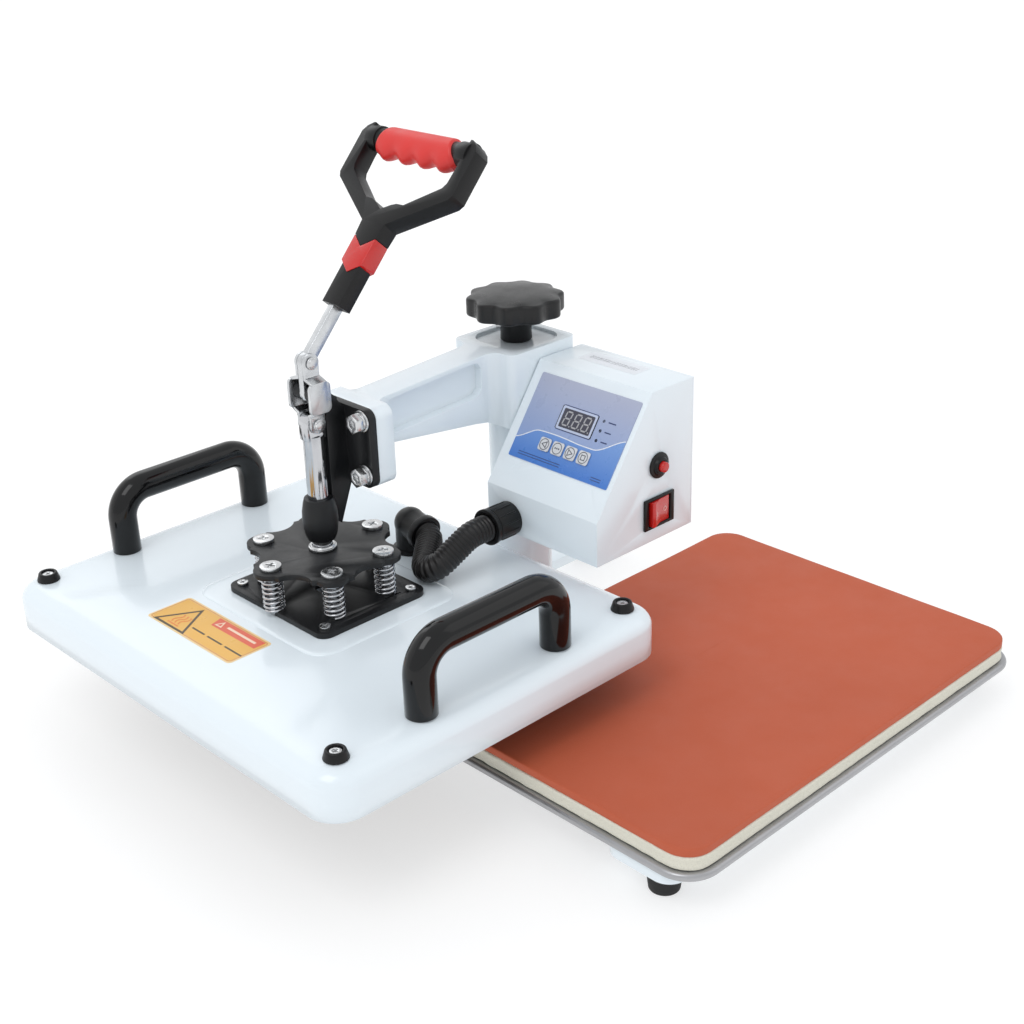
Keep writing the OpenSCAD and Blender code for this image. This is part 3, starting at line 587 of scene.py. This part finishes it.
def smoothstep(a, b, v):
    t = min(1.0, max(0.0, (v - a) / (b - a)))
    return t * t * (3 - 2 * t)


def deck_height(x, y):
    """How far the pressed middle of the cover stands above its ends."""
    # the crease bows outwards towards the cover's long sides
    crease = 107 + 0.0015 * x * x
    inside = 1 - smoothstep(crease - 3.5, crease + 3.5, abs(y))
    return SWELL * inside * smoothstep(6, 26, COVER_X / 2 - abs(x))


def make_cover():
    z0, corner = 30.6, 14.0
    wall_t = 1.8
    inner = [(60, DECK - 2.2), (22, DECK - 2.2)]
    inner += [(wall_t + i, DECK - 14 + h * 0.86) for i, h in reversed(rounded(corner, 0, 80, 5))]
    inner += [(wall_t, z0 + 0.6), (wall_t * 0.5, z0)]
    outer = [(0, z0 + 0.6), (0, 44)]
    outer += [(i * 1.25, DECK - 12 + h * 12 / corner) for i, h in rounded(corner, 0, 90, 9)]
    outer += [(i, DECK) for i in (24, 32, 40, 50, 62, 76, 90, 105, 120, 135, 146)]
    ob = loft("cover_shell", rect_ring(COVER_X, COVER_Y, 24, 12, 44), inner + outer,
              M["white_paint"], head,
              lambda x, y, z: (x, y, z + (deck_height(x, y) if z > DECK - 1.2 else 0)), 60)
    settle(ob, "head_cover")
    step = [(0, DECK + 0.2), (0.5, DECK + SWELL + 0.15), (1.6, DECK + SWELL + 0.7),
            (3.2, DECK + 1.95), (6, DECK + 1.97), (30, DECK + 1.97)]
    ob = loft("cover_step", rect_ring(STEP_X, STEP_Y, 18, 8, 2), step, M["white_paint"], head,
              None, 60)
    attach(ob, "head")


make_cover()


# the middle of the generic label on the cover, in the head's frame
LABEL_X, LABEL_Y = -91.8, 17.7


def make_label():
    low = DECK + SWELL
    base = loft("label_film_sheet", rect_ring(37, 102, 3, 5, 2),
                [(4, low - 0.2), (0, low - 0.2), (0, low + 0.1), (4, low + 0.1)], M["label_edge"],
                lambda x, y, z: head(x + LABEL_X, y + LABEL_Y, z))
    settle(base, "warning_label")

    def sheet(x, y, z):
        return head(x, y, low + z)

    def outline(w, d, r):
        return [(x + LABEL_X, y + LABEL_Y) for x, y in rect_ring(w, d, r, 4, 1)(0)]

    def ink(name, shapes, color, lift):
        decal(name, shapes, M[color], sheet, lift, body="head", slot_name="label_film")
    ink("label_field", [outline(31.5, 96.5, 2)], "label", 0.16)
    ink("label_border", stroke(outline(33, 98, 2.4), 0.7, True), "label_line", 0.2)
    triangle = [(-107.9, 60.6), (-107.6, 26.6), (-79.4, 43.7)]
    ink("label_triangle", stroke(triangle, 2.0, True), "ink_brown", 0.22)
    waves = stroke([(-104.4, 50.0), (-104.4, 37.2)], 1.2)
    for y in (47.6, 43.7, 39.8):
        waves += stroke([(-102.6 + 11.5 * t, y + 1.5 * math.sin(2 * math.pi * t))
                         for t in (i / 12 for i in range(13))], 1.3)
    ink("label_heat", waves, "ink_orange", 0.22)
    tag = [(-76.0, -28.9), (-86.4, -28.9), (-87.0, 21.6), (-76.6, 24.8)]
    ink("label_tag", [tag], "ink_red", 0.2)
    marks = stroke([(-84.4, 19.4), (-84.2, 13.6), (-78.8, 16.5)], 1.1, True)
    marks += stroke([(-81.3, 9), (-81.3, -24)], 2.2)
    ink("label_tag_marks", marks, "ink_pale", 0.26)
    bars = []
    for a, b in ((28, 13), (9.5, -8), (-11.5, -31)):
        bars += stroke([(-98.3, a), (-98.3, b)], 1.5)
    ink("label_lines", bars, "ink_brown", 0.22)


make_label()


# ---------------------------------------------------------------- springs
# radius of the circle that the springs stand on, and the heights of their two ends
SPRING_CIRCLE = 46.5
SPRING_Z = (71.0, 99.0)


def make_springs():
    """Six ground-end compression springs between the two black plates."""
    turns, wire, mean, steps = 7.5, 1.05, 6.95, 22
    z0, z1 = SPRING_Z[0] + wire, SPRING_Z[1] - wire
    bm = bmesh.new()
    n = int(turns * steps)
    for k in range(6):
        cx = SPRING_CIRCLE * math.cos(math.radians(60 * k))
        cy = SPRING_CIRCLE * math.sin(math.radians(60 * k))
        pts = []
        for i in range(n + 1):
            t = i / n
            # the end turns lie close together
            rise = smoothstep(0, 1, t) * 0.35 + t * 0.65
            a = 2 * math.pi * turns * t + k
            pts.append(head(cx + mean * math.cos(a), cy + mean * math.sin(a),
                            z0 + (z1 - z0) * rise))
        tube_into(bm, pts, wire * MM, 10)
    ob = finish_mesh(bm, "coil_springs", M["chrome"], 60)
    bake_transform(ob)
    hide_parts("springs")


make_springs()


# ---------------------------------------------------------------- conduit
# radius over the hose's ribs, depth of the grooves between them, and their spacing
HOSE_R, RIB_DEPTH, RIB_PITCH = 10.2, 1.05, 3.15
GLAND_Y, GLAND_Z = -57.5, 99
# the elbow on the head points its open end this way: heading, and angle from straight up
ELBOW = (-REACH + 91.0, 10.0, 88.0)
HEADING, TILT = math.radians(-94), math.radians(99)
E_DIR = (math.cos(HEADING) * math.sin(TILT), math.sin(HEADING) * math.sin(TILT), math.cos(TILT))


def along_elbow(d):
    return tuple(ELBOW[i] + d * E_DIR[i] for i in range(3))


# the same route as in the CAD: corners and the radius at each
HOSE_ROUTE = [((-86, GLAND_Y, GLAND_Z), 0), ((-108, GLAND_Y, GLAND_Z), 20),
              ((-154, -53, 73.8), 10.8), (along_elbow(25.2), 12), (along_elbow(15), 0)]


def rounded_route(route, gap=0.35):
    """Evenly spaced points along straight runs joined by arcs, millimetres."""
    pts = [Vector(p) for p, _ in route]
    path = [pts[0]]
    for i in range(1, len(pts) - 1):
        a, v, b = pts[i - 1], pts[i], pts[i + 1]
        u, w = (v - a).normalized(), (b - v).normalized()
        angle = u.angle(w)
        r = route[i][1]
        t = r * math.tan(angle / 2)
        middle = v - u * t + (w - u * u.dot(w)).normalized() * r
        arm = v - u * t - middle
        axis = u.cross(w).normalized()
        for k in range(13):
            path.append(middle + Matrix.Rotation(angle * k / 12, 3, axis) @ arm)
    path.append(pts[-1])
    out, left = [path[0]], 0.0
    for a, b in zip(path, path[1:]):
        d = (b - a).length
        s = gap - left
        while s <= d:
            out.append(a.lerp(b, s / d))
            s += gap
        left = d - (s - gap)
    return out


def smoothed(points, rounds):
    for _ in range(rounds):
        inner = [(a + b * 2 + c) / 4 for a, b, c in zip(points, points[1:], points[2:])]
        points = [points[0]] + inner + [points[-1]]
    return points


def make_conduit():
    """Corrugated hose from the box's gland to the elbow on the head."""
    line = smoothed(rounded_route(HOSE_ROUTE), 60)
    radii, run = [], 0.0
    for i, p in enumerate(line):
        if i:
            run += (p - line[i - 1]).length
        k = 0.5 + 0.5 * math.cos(2 * math.pi * run / RIB_PITCH)
        radii.append((HOSE_R - RIB_DEPTH + RIB_DEPTH * k ** 0.6) * MM)
    world_line = [at(*p) for p in line]
    bm = bmesh.new()
    tube_into(bm, world_line, radii, 26)
    ob = finish_mesh(bm, "ribbed_hose", M["hose"], 70)
    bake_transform(ob)
    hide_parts("conduit")


make_conduit()


def make_gland_ribs():
    """Grip ribs round the box's gland."""
    ribs, ring = 12, 13.15
    bm = bmesh.new()
    for k in range(ribs):
        a = 2 * math.pi * (k + 0.5) / ribs
        c, s = math.cos(a), math.sin(a)
        pts = [at(BOX["x0"] - x, GLAND_Y + ring * c, GLAND_Z + ring * s)
               for x in (2.5, 3.5, 10, 17.5, 18.5)]
        tube_into(bm, pts, [r * MM for r in (0.2, 0.7, 0.7, 0.7, 0.2)], 8)
    ob = finish_mesh(bm, "gland_ribs", M["black_plastic"], 60)
    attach(ob, "swing_arm")


make_gland_ribs()


# ---------------------------------------------------------------- knob and grip
LOBES, LOBE_R, LOBE_DEPTH = 10, 36.1, 1.9
NECK_R = 12.3


def make_knob():
    def ring(inset):
        pts = []
        for i in range(160):
            a = 2 * math.pi * i / 160
            wave = math.cos(LOBES * a)
            r = LOBE_R + LOBE_DEPTH * (wave if wave > 0 else wave * 1.05) - inset
            # the lobes fade out over the crown
            r -= wave * LOBE_DEPTH * min(1, max(0, inset - 1) / 5)
            pts.append((r * math.cos(a), r * math.sin(a)))
        return pts

    def neck_ring(inset):
        return [((NECK_R - inset) * math.cos(t), (NECK_R - inset) * math.sin(t))
                for t in (2 * math.pi * i / 48 for i in range(48))]
    e = 2.6
    profile = [(24, 233), (14, 232), (6, 231.6)]
    profile += [(i, 231.8 + e - h) for i, h in reversed(rounded(e, 0, 90, 4))]
    profile += [(i, 246.8 - e + h) for i, h in rounded(e, 0, 90, 5)]
    profile += [(5, 247.4), (9, 248.1), (16, 248.9), (25, 249.3), (33, 249.4)]
    top = loft("knob_cap", ring, profile, M["knob_black"], at, None, 50)
    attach(top, "knob")
    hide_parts("pressure_knob")
    neck = loft("knob_neck", neck_ring,
                [(6.2, 211), (0.8, 211), (0, 211.8), (0.3, 226), (-1.5, 230), (-5, 233)],
                M["knob_black"], at, None, 50)
    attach(neck, "knob")


make_knob()


def make_sleeve():
    """Red grip sleeve: round on top, four finger waves below, ends cut on a slant."""
    # its middle along the lever, its radius, and the finger waves' spacing
    centre, r0, finger = 171.5, 10.0, 20
    bm = bmesh.new()
    rows = []
    n, sides = 72, 28
    for i in range(n + 1):
        t = -1 + 2 * i / n
        shrink = 1 - 0.22 * smoothstep(0.94, 1.0, abs(t))
        row = []
        for k in range(sides):
            a = 2 * math.pi * k / sides
            up, out = math.cos(a), math.sin(a)
            y = t * (38 - 4 * up)
            wave = 3.4 + 1.9 * math.cos(2 * math.pi * (y - finger / 2) / finger)
            low = max(0.0, -up) ** 1.5
            ridge = 1 + 0.03 * max(0, up) ** 6
            r = r0 * shrink * ridge
            row.append(bm.verts.new(bar(out * r * 0.97, y,
                                        centre + up * r - wave * low * shrink)))
        rows.append(row)
    skin(bm, rows)
    bmesh.ops.recalc_face_normals(bm, faces=bm.faces)
    settle(finish_mesh(bm, "finger_sleeve", M["red_grip"], 50), "grip_sleeve")


make_sleeve()


# ---------------------------------------------------------------- control panel
# in the panel's own u and v: the keys, the display, and the film's middle, width and height
KEYS = [(-17.3 + 13.1 * i, -9.7) for i in range(4)]
DISPLAY = (2.5, 13.9)
FILM = (2.3, 8.0, 100.4, 68.0)


def segment(cx, cy, w, h, slant, name):
    """One bar of a seven-segment figure, as a six-sided polygon."""
    t = 1.15
    spots = {"a": (0, h / 2, 1), "g": (0, 0, 1), "d": (0, -h / 2, 1), "f": (-w / 2, h / 4, 0),
             "b": (w / 2, h / 4, 0), "e": (-w / 2, -h / 4, 0), "c": (w / 2, -h / 4, 0)}
    x, y, flat = spots[name]
    half = (w if flat else h / 2) / 2 - 0.25
    pts = [(-half, 0), (-half + t / 2, -t / 2), (half - t / 2, -t / 2), (half, 0),
           (half - t / 2, t / 2), (-half + t / 2, t / 2)]
    pts = [(px, py) if flat else (-py, px) for px, py in pts]
    return [(cx + x + px + (y + py) * slant, cy + y + py) for px, py in pts]


def wave_line(u):
    """The printed wave across the film, v over u."""
    t = (u + 47.9) / FILM[2]
    return (-1.6 - 9.4 * (1 - smoothstep(-0.02, 0.20, t)) + 13.6 * smoothstep(0.74, 1.03, t)
            + 1.2 * math.sin(math.pi * min(1, max(0, (t - 0.1) / 0.5))))


def make_panel():
    cu, cv, w, h = FILM
    film = loft("panel_film_sheet", rect_ring(w, h, 1.5, 4, 2),
                [(10, 0.1), (0, 0.1), (0, 0.5), (10, 0.5)], M["film"],
                lambda x, y, z: panel(cu + x, cv + y, z))
    settle(film, "control_panel")
    u0, u1, v0 = cu - w / 2 + 0.3, cu + w / 2 - 0.3, cv - h / 2 + 0.3
    us = [u0 + (u1 - u0) * i / 48 for i in range(49)]
    field = [[(a, v0), (b, v0), (b, wave_line(b)), (a, wave_line(a))]
             for a, b in zip(us, us[1:])]
    decal("panel_wave_field", field, M["film_blue"], panel, 0.53, 0.02, slot_name="panel_film")
    decal("panel_wave_line", stroke([(u, wave_line(u)) for u in us], 0.75), M["print_white"],
          panel, 0.57, 0.04, slot_name="panel_film")
    dark = []
    for v in (-20.3, -22.2):
        dark += stroke([(-39.5, v), (3.3, v)], 0.55)
        dark += stroke([(34.8, v - 0.4), (44.6, v - 0.4)], 0.55)
    for k in range(3):
        v = 13.1 + 7.6 * (1 - k)
        dark += stroke([(30.5, v), (36.5 + 1.2 * (k == 0), v)], 0.9)
    du, dv = DISPLAY
    dark += stroke([(du + x, dv + y) for x, y in rect_ring(35.2, 18.8, 1.4, 4, 1)(0)], 0.8, True)
    decal("panel_lines", dark, M["print_navy"], panel, 0.60, 0.06, slot_name="panel_film")
    frame_face = [(du + x, dv + y) for x, y in rect_ring(34.6, 18.2, 1.2, 4, 1)(0)]
    decal("display_surround", [frame_face], M["print_lilac"], panel, 0.88, 0.3,
          slot_name="black_plastic")
    window = [(du + x, dv + y) for x, y in rect_ring(30.6, 14.8, 0.8, 3, 1)(0)]
    decal("display_window", [window], M["window"], panel, 0.95, slot_name="black_plastic")
    figures = []
    for i in range(3):
        x = du - 9.3 + 9.4 * i
        figures += [segment(x, dv, 5.4, 10.6, 0.12, s) for s in "abcdefg"]
        figures.append([(x + 4.2 + px, dv - 5.4 + py) for px, py in circle(0, 0, 0.6, 8)])
    decal("display_figures", figures, M["segment"], panel, 0.99, 0.04,
          slot_name="black_plastic")


def make_keys():
    marks = {0: [(2.0, 2.3), (2.0, -2.3), (-2.2, 0)], 2: [(-2.0, 2.3), (-2.0, -2.3), (2.2, 0)],
             3: [(-1.8, -1.8), (1.8, -1.8), (1.8, 1.8), (-1.8, 1.8)]}
    for i, (u, v) in enumerate(KEYS):
        node = ["key_left", "key_set", "key_right", "key_stop"][i]
        profile = [(3, 1.08), (0, 1.08), (0, 1.4)]
        profile += [(k, 1.2 + h) for k, h in rounded(0.6, 20, 90, 3)] + [(4, 1.82)]
        cap = loft(node + "_cap", rect_ring(11, 10.2, 1.8, 5, 1), profile, M["key_white"],
                   lambda x, y, z, u=u, v=v: panel(u + x, v + y, z), None, 40)
        settle(cap, node)
        ink = stroke([(u + x, v + y) for x, y in circle(0, 0, 4.2, 28)], 0.6, True)
        if i in marks:
            ink += stroke([(u + x, v + y) for x, y in marks[i]], 0.7, True)
        else:
            for x in (-1.8, 0, 1.8):
                ink += [[(u + x + px, v + py) for px, py in circle(0, 0, 0.7, 10)]]
        decal(node + "_mark", ink, M["print_grey"], panel, 1.86, 0.06, body_of(node),
              slot_name="white_key")


def make_box_details():
    def top(x, y, z):
        return at(x, y, BOX["top"] + z)
    sticker = [(20.7 + x, -83.5 + y) for x, y in rect_ring(18, 57, 1, 3, 1)(0)]
    decal("box_sticker", [sticker], M["print_white"], top, 0.1, slot_name="label_film")
    bars = []
    y, i = -60.5, 0
    while y > -107:
        step = 0.7 + 0.9 * ((i * 7) % 5) / 4
        bars += stroke([(18.4, y), (23.4, y)], 0.35 + 0.35 * ((i * 3) % 3) / 2)
        y -= step + 0.5
        i += 1
    decal("box_sticker_bars", bars, M["print_grey"], top, 0.14, 0.04, slot_name="label_film")


def make_switch_marks():
    """A bar and a ring on the rocker, the usual marks for on and off."""
    def face(x, z, w):
        # the rocker's two faces follow its own outline
        rise = 5.55 - 0.425 * (x + 8.4) if x < 0.3 else 1.9 - 0.047 * (x - 0.3)
        return wall(-1 + x, 110.3 + z, rise + w)
    marks = stroke([(4.0 + x, z) for x, z in circle(2, 0, 1.6, 16)], 0.5, True)
    marks += stroke([(-5.2, 1.9), (-5.2, -1.9)], 0.6)
    decal("rocker_marks", marks, M["print_pale_red"], face, 0.14, 0.12, "rocker",
          slot_name="red_plastic")


make_panel()
make_keys()
make_box_details()
make_switch_marks()


# ---------------------------------------------------------------- stage and light
FLOOR_GREY = (0.44, 0.46)
FLOOR_GLOW = 0.58
SKY, SKY_STRENGTH = (0.96, 0.98, 1.0, 1), 0.86
AIM = (0, 0, 0.1)
# name, place, size, power, colour
LIGHTS = [("key", (-1.2, -0.2, 2.0), 1.1, 9, (1, 1, 1)),
          ("fill", (1.4, -1.2, 1.6), 1.6, 3, (1, 0.98, 0.96)),
          ("back", (0.4, 1.8, 1.6), 1.2, 4, (0.95, 0.98, 1))]


def make_stage():
    n = Nodes("floor")
    n.set(Roughness=0.6, Specular_IOR_Level=0.3)
    tint = n.ramp(n.noise(1.2, 2), "Fac", list(zip((NOISE_LOW, NOISE_HIGH), FLOOR_GREY)))
    n.link(tint, "Color", n.bsdf, "Base Color")
    n.set(Emission_Color=(1, 1, 1, 1), Emission_Strength=FLOOR_GLOW)
    bm = bmesh.new()
    s = 14.0
    rows = []
    sweep = [(5 + 2 * math.sin(math.radians(a)), 2 - 2 * math.cos(math.radians(a)))
             for a in range(10, 91, 10)]
    for y, z in [(-s, 0), (5, 0)] + sweep + [(7, 9)]:
        rows.append([bm.verts.new((x, y, z)) for x in (-s, s)])
    for a, b in zip(rows, rows[1:]):
        bm.faces.new((a[0], a[1], b[1], b[0]))
    finish_mesh(bm, "floor", n.mat, 60)
    world = bpy.data.worlds.new("studio")
    world.use_nodes = True
    bg = world.node_tree.nodes["Background"]
    bg.inputs["Color"].default_value = SKY
    bg.inputs["Strength"].default_value = SKY_STRENGTH
    bpy.context.scene.world = world
    for name, loc, size, power, tint in LIGHTS:
        data = bpy.data.lights.new(name, "AREA")
        data.size = size
        data.energy = power
        data.color = tint
        lamp = bpy.data.objects.new(name, data)
        lamp.location = loc
        lamp.rotation_euler = (Vector(AIM) - Vector(loc)).to_track_quat("-Z", "Y").to_euler()
        bpy.context.collection.objects.link(lamp)
    bpy.context.scene.view_settings.view_transform = "Standard"


make_stage()
